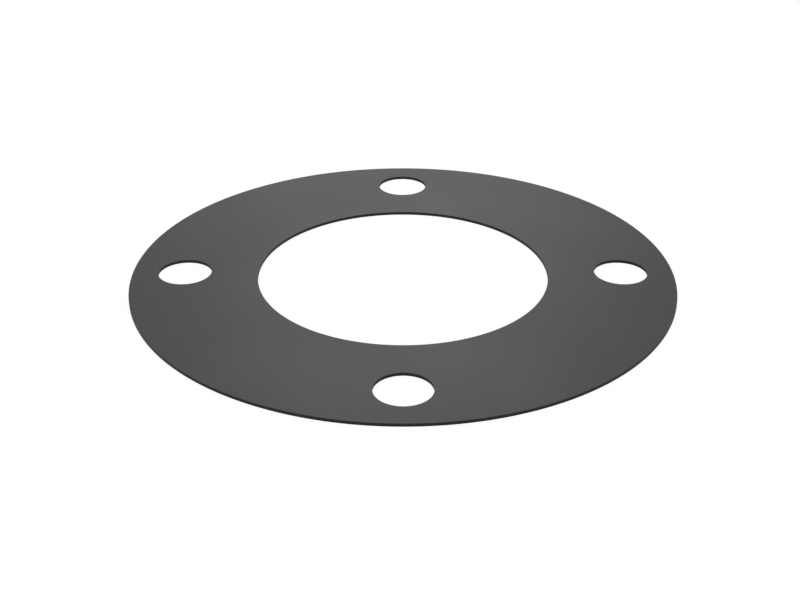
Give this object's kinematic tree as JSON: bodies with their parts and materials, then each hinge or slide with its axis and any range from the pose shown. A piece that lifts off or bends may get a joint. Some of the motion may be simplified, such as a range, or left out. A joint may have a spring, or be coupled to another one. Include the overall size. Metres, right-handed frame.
{
  "type": "water line elbow gasket",
  "caption": "Flat full-face ring gasket of thin rubber sheet with a wide bore and a circle of bolt holes, which seals a flanged water line elbow.",
  "frame": {"origin": "middle of the lower sealing face, on the axis of the bore", "axes": "+Z along the bore, from the lower sealing face to the upper one; +X towards one of the bolt holes, and +Y towards the next"},
  "size_m": [0.1365, 0.1364, 0.0008],
  "materials": {
    "rubber_sheet": "matte black sheet rubber, a little greyer on the faces than on the cut edges"
  },
  "bodies": {
    "root": {"flange_gasket": "rubber_sheet"}
  },
  "joints": []
}
